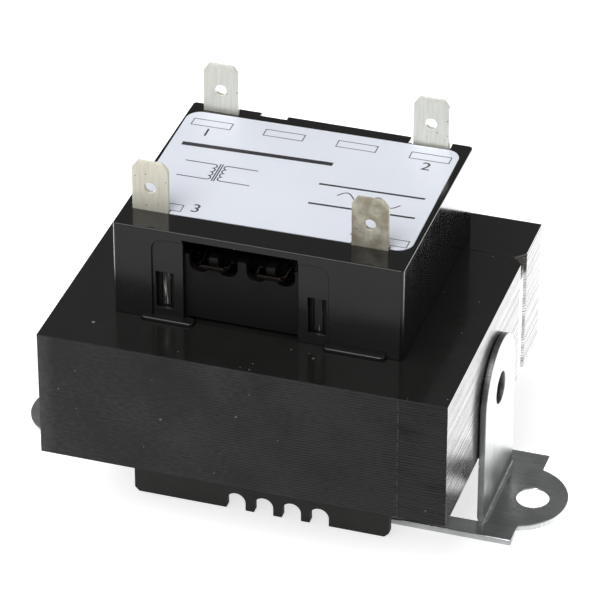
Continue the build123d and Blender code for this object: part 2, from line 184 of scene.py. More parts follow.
class StageLook(bpy.types.PropertyGroup):
    """Floor, light and camera."""

    floor: colour_property("Floor", "Plain floor", (0.75, 0.75, 0.75))
    glow: level_property("Glow", "Floor's own light, which lifts it to white", 0.7)
    front_shine: level_property("Front shine", "Light of the floor's front in reflections", 0.2)
    rear_shine: level_property("Rear shine", "Light of the floor's rear in reflections", 3.0)
    shine_start: FloatProperty(
        name="Shine start",
        description="Depth where the shine starts to grow",
        default=-0.020,
        unit="LENGTH",
    )
    shine_end: FloatProperty(
        name="Shine end",
        description="Depth where the shine is full",
        default=0.016,
        unit="LENGTH",
    )
    sky: level_property("Sky", "Light overhead in reflections", 0.24)
    even: level_property("Even light", "Light from all round on matt surfaces", 0.32)
    azimuth: angle_property("Azimuth", "Camera's turn to the right", 17.726)
    elevation: angle_property("Elevation", "Camera's height above the floor", 32.917)
    aim: FloatVectorProperty(
        name="Aim",
        description="Point in the middle of the picture",
        default=(-0.00359, 0.01439, 0.02373),
        subtype="TRANSLATION",
    )
    distance: FloatProperty(
        name="Distance",
        description="From the aim to the camera",
        default=0.718,
        unit="LENGTH",
    )
    lens: FloatProperty(
        name="Lens",
        description="Focal length on a 36 mm sensor",
        default=245.94,
        unit="CAMERA",
    )


LOOKS = {
    "transformer_core": CoreLook,
    "transformer_plastic": PlasticLook,
    "transformer_metal": MetalLook,
    "transformer_label": LabelLook,
    "transformer_stage": StageLook,
}


# Finishes


def feed(tree, socket, value):
    """Links a pattern to a socket, or writes a plain value into it."""
    if isinstance(value, bpy.types.NodeSocket):
        tree.links.new(value, socket)
    else:
        socket.default_value = value


def add_node(tree, kind, inputs, **settings):
    """New shader node with its settings and inputs."""
    node = tree.nodes.new("ShaderNode" + kind)
    for key, value in settings.items():
        setattr(node, key, value)
    for socket, value in inputs.items():
        feed(tree, node.inputs[socket], value)
    return node


def joined(tree, first, second, operation="ADD"):
    """Two values joined by a sum or another operation."""
    return add_node(tree, "Math", {0: first, 1: second}, operation=operation).outputs[0]


class Finish:
    """Material with the patterns that its finish is mixed from."""

    def __init__(self, name, colour, roughness, sockets=None):
        self.material = bpy.data.materials.new(name)
        self.material.use_nodes = True
        self.material.diffuse_color = (*colour, 1.0)
        self.tree = self.material.node_tree
        self.shader = self.tree.nodes["Principled BSDF"]
        self.colour = (*colour, 1.0)
        self.place = self.add("TexCoord", {}).outputs["Object"]
        self.set("Base Color", self.colour)
        self.set("Roughness", roughness)
        for socket, value in (sockets or {}).items():
            self.set(socket, value)

    def set(self, socket, value):
        """Gives a shader socket a value or a pattern."""
        feed(self.tree, self.shader.inputs[socket], value)

    def add(self, kind, inputs, **settings):
        """New node of this material."""
        return add_node(self.tree, kind, inputs, **settings)

    def moved(self, size, stretch, seed):
        """Object coordinates in cells of this size in millimetres, drawn out along the axes by stretch."""
        scale = [1 / (size * MM * part) for part in stretch]
        inputs = {"Vector": self.place, "Scale": scale, "Location": (seed, seed, seed)}
        return self.add("Mapping", inputs).outputs[0]

    def grain(self, size, stretch=(1, 1, 1), detail=4.0, seed=0.0):
        """Noise from 0 to 1 with patches of about this size."""
        vector = self.moved(size, stretch, seed)
        return self.add("TexNoise", {"Vector": vector, "Scale": 1.0, "Detail": detail}).outputs["Fac"]

    def bands(self, pitch, axis):
        """Wave from 0 to 1 that repeats along an axis at this pitch in metres."""
        inputs = {"Vector": self.place, "Scale": math.pi / (10 * pitch)}
        return self.add("TexWave", inputs, bands_direction=axis).outputs["Fac"]

    def span(self, value, low, high, to_low=0.0, to_high=1.0):
        """Pattern moved smoothly from one range to another."""
        inputs = {"Value": value, "From Min": low, "From Max": high, "To Min": to_low, "To Max": to_high}
        return self.add("MapRange", inputs, interpolation_type="SMOOTHSTEP").outputs["Result"]

    def sum(self, first, second, operation="ADD"):
        """Two patterns added, or joined by another operation."""
        return joined(self.tree, first, second, operation)

    def specks(self, spacing, size, share, seed=0.0):
        """Dust: one dot in a share of the cells of a random pattern."""
        cells = self.add("TexVoronoi", {"Vector": self.moved(spacing, (1, 1, 1), seed), "Scale": 1.0})
        dot = self.span(cells.outputs["Distance"], 0.4 * size / spacing, size / spacing, 1.0, 0.0)
        pick = self.add("SeparateColor", {"Color": cells.outputs["Color"]}).outputs["Red"]
        return self.sum(dot, self.sum(pick, 1.0 - share, "GREATER_THAN"), "MULTIPLY")

    def along(self, axis):
        """One of the object coordinates, in metres."""
        return self.add("SeparateXYZ", {"Vector": self.place}).outputs[axis]

    def mix(self, factor, first, second):
        """Colour between two colours."""
        node = self.add("Mix", {}, data_type="RGBA")
        for socket, value in {"Factor": factor, 6: first, 7: second}.items():
            feed(self.tree, node.inputs[socket], value)
        return node.outputs[2]

    def tone(self, factor, dark, light):
        """The finish's own colour made darker and lighter by a pattern."""
        own = self.colour[:3]
        colours = [(*(min(1.0, part * share) for part in own), 1.0) for share in (dark, light)]
        return self.mix(factor, *colours)

    def relief(self, height, depth):
        """Surface relief of this depth in millimetres."""
        bump = self.add("Bump", {"Height": height, "Distance": depth * MM, "Strength": 1.0})
        self.set("Normal", bump.outputs["Normal"])


def dusty(finish, base, dust, colour):
    """Base colour with pale dust over it."""
    finish.set("Base Color", finish.mix(dust, base, colour))


def varnish_finish(name, look):
    """Pooled black varnish on the flat top and underside of the core."""
    finish = Finish(name, look.varnish, 0.14)
    cloud = finish.grain(7.0, seed=3.0)
    dust = finish.sum(finish.specks(1.6, 0.16, 0.16), finish.specks(5.5, 0.4, 0.2, 4.0), "MAXIMUM")
    dusty(finish, finish.tone(cloud, 0.7, 1.35), dust, (0.2, 0.2, 0.19, 1.0))
    finish.set("Roughness", finish.span(finish.grain(2.2, seed=1.0), 0.3, 0.75, 0.1, 0.24))
    finish.relief(finish.sum(finish.grain(4.0, detail=2.0), dust), 0.012)
    return finish.material


def face_finish(name, colour, specular, pitch, line_depth, left_tone, stretch, rim_x=None):
    """Sheet ends seen from the front: a line for each sheet, streaks, pale nicks and pale rims."""
    finish = Finish(name, colour, 0.36, {"Specular IOR Level": specular})
    streak = finish.grain(0.45, (stretch, 1, 1), seed=2.0)
    blotch = finish.grain(9.0, seed=5.0)
    across = finish.span(finish.along("X"), E_LOW.x, E_HIGH.x)
    nick = finish.sum(finish.specks(4.5, 0.32, 0.2, 1.0), finish.specks(1.7, 0.14, 0.1, 7.0), "MAXIMUM")
    if rim_x is not None:
        right_rim = finish.span(finish.along("X"), rim_x - 0.3 * MM, rim_x - 0.15 * MM, 0.0, 0.3)
        left_rim = finish.span(finish.along("X"), E_LOW.x, E_LOW.x + 3.5 * MM, 0.45, 0.0)
        rim = finish.sum(left_rim, right_rim)
        nick = finish.sum(nick, finish.sum(rim, finish.grain(1.2, seed=4.0), "MULTIPLY"), "MAXIMUM")
    wave = finish.bands(pitch, "Z")
    fade = finish.span(finish.grain(7.0, (2, 1, 1), seed=8.0), 0.3, 0.6, 0.35, 1.0)
    ribs = finish.sum(wave, finish.sum(fade, finish.sum(across, 0.15), "MULTIPLY"), "MULTIPLY")
    both = finish.sum(finish.sum(streak, blotch, "MULTIPLY"), finish.sum(ribs, 0.36, "MULTIPLY"))
    tint = finish.span(both, 0.12, 0.56)
    left = finish.tone(tint, 0.6 * left_tone, 1.6 * left_tone)
    dusty(finish, finish.mix(across, left, finish.tone(tint, 0.15, 1.45)), nick, (0.34, 0.34, 0.33, 1.0))
    finish.set("Roughness", finish.span(blotch, 0.3, 0.7, 0.29, 0.45))
    finish.relief(finish.sum(ribs, streak), line_depth)
    return finish.material


def edge_finish(name, look):
    """Thin varnish on the left and right faces, which shows the edge of every sheet."""
    finish = Finish(name, look.edge, 0.14)
    streak = finish.grain(0.5, (1, 26, 1), seed=6.0)
    stain = finish.grain(5.0, (1, 2, 1), seed=9.0)
    tint = finish.span(finish.sum(streak, stain, "MULTIPLY"), 0.12, 0.42)
    finish.set("Base Color", finish.tone(tint, 0.72, 1.2))
    finish.set("Roughness", finish.span(stain, 0.3, 0.7, 0.1, 0.2))
    finish.relief(streak, 0.003)
    return finish.material


def weld_finish(name, colour):
    """Weld metal with darker heat stains, and darker towards its top."""
    finish = Finish(name, colour, 0.34, {"Metallic": 1.0})
    heat = finish.grain(2.4, seed=4.0)
    # Darker towards the top of the weld metal
    dark_top = finish.span(finish.along("Z"), E_HIGH.z - 4.6 * MM, E_HIGH.z - 3.2 * MM)
    warm = finish.tone(finish.span(heat, 0.4, 0.7), 1.0, 0.7)
    finish.set("Base Color", finish.mix(dark_top, warm, (0.03, 0.028, 0.026, 1.0)))
    finish.set("Roughness", finish.span(heat, 0.3, 0.7, 0.24, 0.48))
    finish.relief(finish.grain(0.3, seed=2.0), 0.03)
    return finish.material


def moulding_finish(name, colour, specular, roughness, grain_size, depth, top_tone, front=None):
    """Black moulding with flow lines, grain and dust, darker above the core: on the bobbin, painted shade.

    A moulding with a satin front is polished behind it and on top: front holds the place where it ends
    and the height of the top.
    """
    finish = Finish(name, colour, roughness, {"Specular IOR Level": specular})
    flow = finish.grain(8.0, (1, 1, 2), seed=2.0)
    dust = finish.specks(4.0, 0.3, 0.14, 3.0)
    # Painted shade: top_tone darkens the moulding above the core, which on the bobbin stands for the shade
    # in the housing's recess
    above = finish.span(finish.along("Z"), E_LOW.z, E_HIGH.z)
    low_tint = finish.tone(flow, 0.85, 1.2)
    tint = finish.mix(above, low_tint, finish.tone(flow, 0.85 * top_tone, 1.2 * top_tone))
    dusty(finish, tint, dust, (0.16, 0.16, 0.155, 1.0))
    satin = finish.span(finish.grain(3.0, seed=1.0), 0.3, 0.7, 0.9 * roughness, 1.15 * roughness)
    if front is not None:
        front_y, top_z = front
        behind = finish.span(finish.along("Y"), front_y, front_y + 0.8 * MM, 1.0, 0.5)
        on_top = finish.span(finish.along("Z"), top_z - 1.1 * MM, top_z - 0.3 * MM, 1.0, 0.5)
        satin = finish.sum(satin, finish.sum(behind, on_top, "MINIMUM"), "MULTIPLY")
    finish.set("Roughness", satin)
    finish.relief(finish.sum(finish.grain(grain_size, detail=2.0), dust), depth)
    return finish.material


def copper_finish(name, look):
    """Enamelled copper, with the turns of the winding as ridges."""
    finish = Finish(name, look.copper, 0.24, {"Metallic": 1.0, "Coat Weight": 0.1, "Coat Roughness": 0.12})
    patch = finish.grain(2.6, (2, 1, 2), seed=3.0)
    finish.set("Base Color", finish.tone(patch, 0.6, 1.15))
    finish.set("Roughness", finish.span(patch, 0.3, 0.7, 0.18, 0.34))
    turn_pitch = 0.5 * MM
    finish.relief(finish.bands(turn_pitch, "Y"), 0.12)
    return finish.material


def tape_finish(name, look):
    """Film tape with creases and a cloudy tint."""
    finish = Finish(name, look.tape, 0.3, {"Coat Weight": 0.5, "Coat Roughness": 0.15})
    crease = finish.grain(2.0, (1, 6, 1), seed=5.0)
    finish.set("Base Color", finish.tone(finish.grain(9.0, seed=2.0), 0.7, 1.2))
    finish.set("Roughness", finish.span(crease, 0.3, 0.7, 0.22, 0.42))
    finish.relief(crease, 0.05)
    return finish.material


def tin_finish(name, colour, metallic, worn):
    """Dull tin plating with upright scuffs and brown stains, with painted shade and painted highlight
    streaks inside the housing.
    """
    finish = Finish(name, colour, 0.42, {"Metallic": metallic})
    scuff = finish.grain(0.35, (1, 1, 16), seed=1.0 + worn)
    stain = finish.grain(2.6, seed=6.0 + worn)
    tint = finish.tone(finish.span(scuff, 0.32, 0.68), 0.92, 1.04)
    brown = tuple(part * share for part, share in zip(finish.colour, (0.55, 0.51, 0.44, 1.0)))
    aged = finish.mix(finish.span(stain, 0.62 - 0.3 * worn, 0.85 - 0.2 * worn), tint, brown)
    pits = finish.specks(0.9, 0.16, 0.12 + 0.3 * worn, worn)
    pitted = finish.mix(pits, aged, (0.14, 0.13, 0.11, 1.0))
    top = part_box("terminal_housing")[1].z
    # Painted shade inside the housing, with pale scuff streaks as painted highlights
    inside = finish.span(finish.along("Z"), top - 2 * MM, top, 1.0, 0.0)
    painted_shade_and_highlight = finish.mix(finish.span(scuff, 0.58, 0.66), (0.02, 0.0195, 0.018, 1.0), (0.5, 0.48, 0.45, 1.0))
    finish.set("Base Color", finish.mix(inside, pitted, painted_shade_and_highlight))
    finish.set("Roughness", finish.span(stain, 0.3, 0.7, 0.36, 0.5))
    finish.relief(finish.sum(scuff, finish.grain(0.25, seed=3.0)), 0.003)
    return finish.material


def solder_finish(name, look):
    """Solder with a dull skin."""
    finish = Finish(name, look.solder, 0.25, {"Metallic": 1.0})
    skin = finish.grain(0.5, seed=2.0)
    finish.set("Base Color", finish.tone(skin, 0.75, 1.1))
    finish.set("Roughness", finish.span(skin, 0.3, 0.7, 0.16, 0.42))
    finish.relief(skin, 0.03)
    return finish.material


def zinc_finish(name, colour, roughness, bend_height):
    """Bright zinc plating with rolling lines, faint stains and pale specks, duller on the tongues."""
    finish = Finish(name, colour, roughness, {"Metallic": 0.96})
    roll = finish.grain(0.3, (40, 1, 40), seed=4.0)
    stain = finish.grain(4.5, seed=7.0)
    speck = finish.specks(1.8, 0.22, 0.22, 5.0)
    bend_start = 1.3
    rise = finish.span(finish.along("Z"), CAD_LOW.z + bend_start * MM, CAD_LOW.z + bend_height * MM)
    streak = finish.span(finish.sum(roll, stain, "MULTIPLY"), 0.12, 0.42)
    tint = finish.mix(rise, finish.tone(streak, 0.82, 1.1), finish.tone(streak, 0.38, 0.58))
    dusty(finish, tint, speck, (0.82, 0.83, 0.82, 1.0))
    satin = finish.span(stain, 0.3, 0.7, 0.9 * roughness, 1.15 * roughness)
    finish.set("Roughness", finish.sum(satin, finish.sum(rise, 0.16, "MULTIPLY")))
    finish.relief(finish.sum(roll, finish.grain(0.4, seed=1.0)), 0.002)
    return finish.material


def label_finish(name, look):
    """Satin label film with a faint ripple from the moulding under it."""
    finish = Finish(name, look.film, 0.36)
    cloud = finish.grain(12.0, seed=2.0)
    finish.set("Base Color", finish.tone(cloud, 0.97, 1.03))
    finish.set("Roughness", finish.span(cloud, 0.3, 0.7, 0.3, 0.44))
    finish.relief(finish.grain(2.5, seed=5.0), 0.01)
    return finish.material


def ink_finish(name, look):
    """Print ink, a little thin in places."""
    finish = Finish(name, look.ink, 0.5)
    thin = finish.grain(0.4, seed=1.0)
    faded = finish.mix(finish.span(thin, 0.55, 0.85), finish.colour, (0.16, 0.16, 0.18, 1.0))
    finish.set("Base Color", faded)
    finish.set("Roughness", finish.span(thin, 0.3, 0.7, 0.42, 0.6))
    return finish.material


# Meshes


def new_piece(name, mesh, slot, *nodes):
    """Object that moves with the body and stands for CAD nodes; its slot argument is not used."""
    piece = bpy.data.objects.new(name, mesh)
    bpy.context.scene.collection.objects.link(piece)
    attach(piece, BODY)
    if nodes:
        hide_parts(*nodes)
    return piece


def close_mesh(form, name):
    """Mesh from a form, smooth apart from its sharp edges."""
    bmesh.ops.recalc_face_normals(form, faces=form.faces)
    mesh = bpy.data.meshes.new(name)
    form.to_mesh(mesh)
    form.free()
    if "custom_normal" in mesh.attributes:
        mesh.attributes.remove(mesh.attributes["custom_normal"])
    mesh.shade_smooth()
    mesh.set_sharp_from_angle(angle=CREASE_ANGLE)
    return mesh


def node_form(node):
    """Welded form of a CAD node, with its flat faces whole."""
    form = bmesh.new()
    form.from_mesh(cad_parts[node].data)
    bmesh.ops.remove_doubles(form, verts=form.verts, dist=WELD_DISTANCE)
    bmesh.ops.dissolve_limit(form, angle_limit=FLAT_ANGLE, verts=form.verts, edges=form.edges)
    for face in form.faces:
        face.material_index = 0
    return form


def round_edges(form, width):
    """Rounds the sharp outer edges of a form."""
    sharp = [e for e in form.edges if e.is_manifold and e.is_convex and e.calc_face_angle() > SHARP_ANGLE]
    bmesh.ops.bevel(
        form,
        geom=sharp,
        offset=width * MM,
        offset_type="OFFSET",
        segments=2,
        profile=0.5,
        affect="EDGES",
        clamp_overlap=False,
    )


def softened(node, slot, width, material):
    """Piece with a CAD node's shape and rounded edges, in the node's place."""
    form = node_form(node)
    round_edges(form, width)
    mesh = close_mesh(form, "soft_" + node)
    mesh.materials.append(material)
    piece = new_piece("soft_" + node, mesh, slot, node)
    piece.modifiers.new("Flat faces", "WEIGHTED_NORMAL").keep_sharp = True
    return piece


def dress(node, material):
    """Gives a CAD node its finish."""
    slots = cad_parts[node].material_slots
    if not slots:
        raise RuntimeError(f"{node} has no material slot")
    for place in slots:
        place.material = material


def ribbon(form, points, width, closed=False):
    """Flat line of this width through points of the XY plane."""
    path = [np.array(p, float) for p in points]
    sides = []
    for number, point in enumerate(path):
        ahead = path[(number + 1) % len(path)] if closed or number + 1 < len(path) else None
        behind = path[number - 1] if closed or number else None
        runs = [b - a for a, b in ((behind, point), (point, ahead)) if a is not None and b is not None]
        normals = [np.array((-run[1], run[0])) / np.linalg.norm(run) for run in runs]
        mitre = sum(normals) / len(normals)
        reach = mitre / max(mitre @ mitre, MITRE_FLOOR) * width / 2
        sides.append([form.verts.new((*(point + sign * reach), 0.0)) for sign in (1, -1)])
    pairs = list(zip(sides, sides[1:]))
    if closed:
        pairs.append((sides[-1], sides[0]))
    for (left, right), (next_left, next_right) in pairs:
        form.faces.new((left, right, next_right, next_left))


def digit_mesh(text, size):
    """Flat mesh of a number, centred on the origin."""
    curve = bpy.data.curves.new("digit", "FONT")
    curve.body = text
    curve.size = size
    curve.align_x = "CENTER"
    curve.align_y = "CENTER"
    carrier = bpy.data.objects.new("digit", curve)
    bpy.context.scene.collection.objects.link(carrier)
    bpy.context.view_layer.update()
    mesh = bpy.data.meshes.new_from_object(carrier.evaluated_get(bpy.context.evaluated_depsgraph_get()))
    bpy.data.objects.remove(carrier)
    bpy.data.curves.remove(curve)
    return mesh


# Operators


class TRANSFORMER_OT_core(bpy.types.Operator):
    """Sheets of the core with rounded and slightly uneven edges, and the varnish film on the front"""

    bl_idname = "transformer.core"
    bl_label = "Laminated core"

    def stack(self, node, look, materials, seed):
        """One stack of sheets, each a little shorter than its CAD sheet and shifted by chance."""
        form = node_form(node)
        round_edges(form, look.burr)
        low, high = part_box(node)
        pitch = (high.z - low.z) / look.sheet_count
        draw = np.random.default_rng(seed)
        steps = draw.uniform(-look.shift * MM, look.shift * MM, (look.sheet_count, 2))
        middle = (low + high) / 2
        room = look.shift * MM
        for vert in form.verts:
            level = min(look.sheet_count - 1, int((vert.co.z - low.z) / pitch))
            on_front = vert.co.y < low.y + 2 * look.burr * MM
            for axis in (0, 1):
                share = 1 - room / ((high[axis] - low[axis]) / 2)
                vert.co[axis] = middle[axis] + (vert.co[axis] - middle[axis]) * share + steps[level][axis]
            if on_front:
                vert.co.y += look.film_room * MM
        form.normal_update()
        for face in form.faces:
            across, along, up = (abs(part) for part in face.normal)
            if up > 0.9:
                face.material_index = TOP
            elif min(across, along) > 0.5:
                face.material_index = GROOVE
            else:
                face.material_index = ENDS if along > 0.8 else SIDES
        mesh = close_mesh(form, "soft_" + node)
        for material in materials:
            mesh.materials.append(material)
        piece = new_piece("soft_" + node, mesh, "core_steel", node)
        piece.modifiers.new("Flat faces", "WEIGHTED_NORMAL").keep_sharp = True

    def film(self, look, material):
        """Thin varnish film on the front face, with an uneven edge where it ends."""
        columns, rows = 150, 60
        edge_swing, ripple_height, thickness = 0.15 * MM, 0.008 * MM, 0.02 * MM
        side_room, end_room, front_room = 0.06 * MM, 0.1 * MM, 0.022 * MM
        sunk_share = 1.3
        draw = np.random.default_rng(21)
        edge_wave = np.convolve(draw.uniform(-1, 1, rows + 8), np.ones(9) / 9, "valid") * edge_swing
        left = E_LOW.x + side_room
        right = E_HIGH.x - look.film_right * MM
        low, high = E_LOW.z + end_room, E_HIGH.z - end_room
        front = E_LOW.y + front_room
        back = E_LOW.y + look.film_room * sunk_share * MM
        form = bmesh.new()
        grid = []
        for row in range(rows):
            z = low + (high - low) * row / (rows - 1)
            line = []
            for column in range(columns):
                share = column / (columns - 1)
                x = left + (right + edge_wave[row] - left) * share
                at_sides = min((1 - share) * 40, share * 200 + 0.2)
                at_ends = min(row, rows - 1 - row) / 2 + 0.2
                fade = min(1.0, at_sides, at_ends)
                swing = math.sin(x / (3.1 * MM)) + math.sin(z / (1.9 * MM) + x / (6 * MM))
                y = back + (front + ripple_height * swing - back) * fade
                line.append(form.verts.new((x, y, z)))
            grid.append(line)
        for lower, upper in zip(grid, grid[1:]):
            for column in range(columns - 1):
                form.faces.new((lower[column], lower[column + 1], upper[column + 1], upper[column]))
        bmesh.ops.solidify(form, geom=form.faces[:], thickness=-thickness)
        mesh = close_mesh(form, "front_varnish_film")
        mesh.materials.append(material)
        new_piece("front_varnish_film", mesh, "core_steel")

    def execute(self, context):
        look = context.scene.transformer_core
        pitch = (E_HIGH.z - E_LOW.z) / look.sheet_count
        bare = face_finish(
            "sheet_ends",
            look.face,
            specular=0.12,
            pitch=pitch,
            line_depth=0.03,
            left_tone=1.0,
            stretch=34,
        )
        groove = weld_finish("groove_metal", look.groove)
        materials = [varnish_finish("core_varnish", look), bare, edge_finish("sheet_edges", look), groove]
        self.stack("e_laminations", look, materials, 5)
        self.stack("i_laminations", look, materials, 8)
        film = face_finish(
            "varnish_film",
            look.film,
            specular=0.5,
            pitch=pitch,
            line_depth=0.012,
            left_tone=1.7,
            stretch=2.5,
            rim_x=E_HIGH.x - look.film_right * MM,
        )
        self.film(look, film)
        return {"FINISHED"}


class TRANSFORMER_OT_welds(bpy.types.Operator):
    """Rippled weld beads in the side grooves, and the tacks of the mounting feet"""

    bl_idname = "transformer.welds"
    bl_label = "Welds"

    def bead(self, node, side, material):
        """Bead with overlapping ripples that thins out at both ends."""
        low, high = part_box(node)
        root = low.x if side > 0 else high.x
        reach = high.x - low.x
        half = (high.y - low.y) / 2
        middle = (high.y + low.y) / 2
        across, rings = 15, 150
        ripple_pitch, ripple_lag = 0.95 * MM, 0.55
        flank, crown_rise, rim = 0.76, 0.2, 0.72
        draw = np.random.default_rng(14 if side > 0 else 15)
        lumps = np.convolve(draw.uniform(-1, 1, rings + 10), np.ones(11) / 11, "valid")
        form = bmesh.new()
        grid = []
        for ring in range(rings):
            share = ring / (rings - 1)
            z = low.z + (high.z - low.z) * share
            fade = min(1.0, (1 - share) * 14 + 0.25, share * 20 + 0.4)
            line = []
            for column in range(across):
                u = 2 * column / (across - 1) - 1
                wave = (share * (high.z - low.z) / ripple_pitch - ripple_lag * u * u) % 1.0
                ripple = 0.032 * (wave - 0.5) + 0.024 * lumps[ring]
                crown = (flank + crown_rise * (1 - u * u) + ripple) * fade
                depth = reach * max(abs(u) * rim, min(0.99, crown))
                line.append(form.verts.new((root + side * depth, middle + half * u * 0.98, z)))
            line.append(form.verts.new((root, middle, z)))
            grid.append(line)
        for lower, upper in zip(grid, grid[1:]):
            for column in range(across + 1):
                ahead = (column + 1) % (across + 1)
                form.faces.new((lower[column], lower[ahead], upper[ahead], upper[column]))
        form.faces.new(grid[0])
        form.faces.new(grid[-1])
        mesh = close_mesh(form, "rippled_" + node)
        mesh.materials.append(material)
        new_piece("rippled_" + node, mesh, "weld_steel", node)

    def execute(self, context):
        material = weld_finish("weld_metal", context.scene.transformer_core.weld)
        self.bead("weld_bead_right", 1, material)
        self.bead("weld_bead_left", -1, material)
        dress("plate_tacks", material)
        return {"FINISHED"}


class TRANSFORMER_OT_coil(bpy.types.Operator):
    """Bobbin, windings and tape"""

    bl_idname = "transformer.coil"
    bl_label = "Bobbin and windings"

    def execute(self, context):
        plastic = context.scene.transformer_plastic
        metal = context.scene.transformer_metal
        nylon = moulding_finish(
            "bobbin_nylon",
            plastic.bobbin,
            specular=0.2,
            roughness=0.5,
            grain_size=0.5,
            depth=0.003,
            # Painted shade: the bobbin is much darker above the core, in the housing's recess
            top_tone=0.1,
        )
        softened("bobbin", "bobbin_nylon", plastic.bobbin_round, nylon)
        copper = copper_finish("copper_wire", metal)
        tape = tape_finish("winding_tape", plastic)
        for node in ("primary_winding", "secondary_winding"):
            dress(node, copper)
        for node in ("primary_wrap", "secondary_wrap"):
            dress(node, tape)
        return {"FINISHED"}


class TRANSFORMER_OT_terminals(bpy.types.Operator):
    """Quick-connect blades and the solder of the lead ends"""

    bl_idname = "transformer.terminals"
    bl_label = "Terminals"

    def execute(self, context):
        metal = context.scene.transformer_metal
        # Wear, share of metal and tint of each blade; the front right blade's dark tint is partly stain and
        # partly painted shade
        blade_wear_and_shade = {
            "secondary_left_terminal": (0.0, 0.3, (1.0, 0.97, 0.86)),
            "secondary_right_terminal": (1.0, 0.3, (0.74, 0.72, 0.63)),
            "primary_left_terminal": (0.0, 0.45, (1.0, 1.01, 0.95)),
            "primary_right_terminal": (0.05, 0.45, (1.03, 1.04, 0.98)),
        }
        for node, (worn, metallic, tint) in blade_wear_and_shade.items():
            colour = [part * share for part, share in zip(metal.tin, tint)]
            tin = tin_finish("tin_" + node, colour, metallic, worn)
            softened(node, "tinned_brass", metal.blade_round, tin)
        dress("solder_joints", solder_finish("solder", metal))
        return {"FINISHED"}


class TRANSFORMER_OT_housing(bpy.types.Operator):
    """Terminal housing with rounded edges"""

    bl_idname = "transformer.housing"
    bl_label = "Terminal housing"

    def execute(self, context):
        look = context.scene.transformer_plastic
        low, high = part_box("terminal_housing")
        plastic = moulding_finish(
            "housing_plastic",
            look.housing,
            specular=0.38,
            roughness=0.24,
            grain_size=0.9,
            depth=0.0012,
            top_tone=0.8,
            front=(low.y + look.front_depth * MM, high.z),
        )
        softened("terminal_housing", "housing_plastic", look.housing_round, plastic)
        return {"FINISHED"}


class TRANSFORMER_OT_label(bpy.types.Operator):
    """Label film with terminal boxes and numbers, two symbols and plain bars"""

    bl_idname = "transformer.label"
    bl_label = "Label"

    def boxes(self, form, look):
        """Outlined boxes: a row of four at the rear, and one beside each front blade."""
        centres = [(REAR_BOX_X + number * look.box_pitch, REAR_BOX_Y) for number in range(4)]
        centres += FRONT_BOXES
        half_x, half_y = look.box_width / 2, look.box_depth / 2
        for x, y in centres:
            corners = [(-half_x, -half_y), (half_x, -half_y), (half_x, half_y), (-half_x, half_y)]
            ribbon(form, [((x + a) * MM, (y + b) * MM) for a, b in corners], look.line * MM, closed=True)

    def coil_symbol(self, form, look):
        """Two rows of humps with the core's bars between them."""
        hump, gap, bar, lead = 0.62, 1.25, 0.4, 5.2
        for side in (-1, 1):
            lead_x = COIL_X + side * (gap + lead)
            points = [(lead_x, COIL_Y - 4 * hump)]
            for number in range(4):
                middle = COIL_Y + (2 * number - 3) * hump
                for step in range(1 if number else 0, 9):
                    turn = math.pi * (step / 8 - 0.5)
                    x = COIL_X + side * (gap - hump * math.cos(turn))
                    points.append((x, middle + hump * math.sin(turn)))
            points.append((lead_x, COIL_Y + 4 * hump))
            ribbon(form, [(x * MM, y * MM) for x, y in points], look.symbol_line * MM)
            ends = [(COIL_X + side * bar / 2, COIL_Y + reach * 4.6 * hump) for reach in (-1, 1)]
            ribbon(form, [(x * MM, y * MM) for x, y in ends], look.symbol_line * MM)

    def wave_symbol(self, form, look):
        """Wave for alternating current."""
        length, height, steps = 11.0, 1.3, 48
        points = []
        for step in range(steps + 1):
            share = step / steps
            points.append((WAVE_X + length * share, WAVE_Y + height * math.sin(4 * math.pi * share)))
        ribbon(form, [(x * MM, y * MM) for x, y in points], look.symbol_line * MM)

    def rules(self, form, look):
        """Plain bars: a bold one in the middle, and thin ones above and below the wave."""
        bars = [(BOLD_RULE, look.bold_line)] + [(rule, look.rule_line) for rule in THIN_RULES]
        for ends, width in bars:
            ribbon(form, [(x * MM, y * MM) for x, y in ends], width * MM)

    def digits(self, form, look):
        """Numbers of the terminals."""
        font_share = 1.35
        for text, (x, y) in DIGITS.items():
            mesh = digit_mesh(text, look.digit_size * font_share * MM)
            mesh.transform(Matrix.Translation((x * MM, y * MM, 0.0)))
            form.from_mesh(mesh)
            bpy.data.meshes.remove(mesh)

    def execute(self, context):
        look = context.scene.transformer_label
        ink_thickness, ink_room = 0.012 * MM, 0.002 * MM
        dress("rating_label", label_finish("label_film", look))
        form = bmesh.new()
        self.boxes(form, look)
        self.coil_symbol(form, look)
        self.wave_symbol(form, look)
        self.rules(form, look)
        self.digits(form, look)
        bmesh.ops.recalc_face_normals(form, faces=form.faces)
        bmesh.ops.solidify(form, geom=form.faces[:], thickness=ink_thickness)
        low = min(vert.co.z for vert in form.verts)
        label_low, label_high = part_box("rating_label")
        middle = (label_low + label_high) / 2
        turn = Matrix.Rotation(look.turn, 3, "Z")
        bmesh.ops.rotate(form, cent=(0.0, 0.0, 0.0), matrix=turn, verts=form.verts)
        lift = label_high.z - low + ink_room
        bmesh.ops.translate(form, vec=(middle.x, middle.y, lift), verts=form.verts)
        mesh = close_mesh(form, "label_print")
        mesh.materials.append(ink_finish("label_ink", look))
        new_piece("label_print", mesh, "label_film")
        return {"FINISHED"}


class TRANSFORMER_OT_feet(bpy.types.Operator):
    """Zinc plated mounting feet"""

    bl_idname = "transformer.feet"
    bl_label = "Mounting feet"

    def cut_edges(self, foot, look, material):
        """Duller finish on the sheared edges of a tongue."""
        foot.data.materials.append(material)
        start = CAD_LOW.z + look.bend_height * MM
        for face in foot.data.polygons:
            if face.center.z > start and abs(face.normal.x) < 0.5:
                face.material_index = 1

    def execute(self, context):
        look = context.scene.transformer_metal
        zinc = zinc_finish("zinc_plate", look.zinc, 0.24, look.bend_height)
        cut = zinc_finish("zinc_cut_edge", look.cut_edge, 0.3, look.bend_height)
        for node in ("right_foot", "left_foot"):
            self.cut_edges(softened(node, "zinc_plate", look.plate_round, zinc), look, cut)
        return {"FINISHED"}


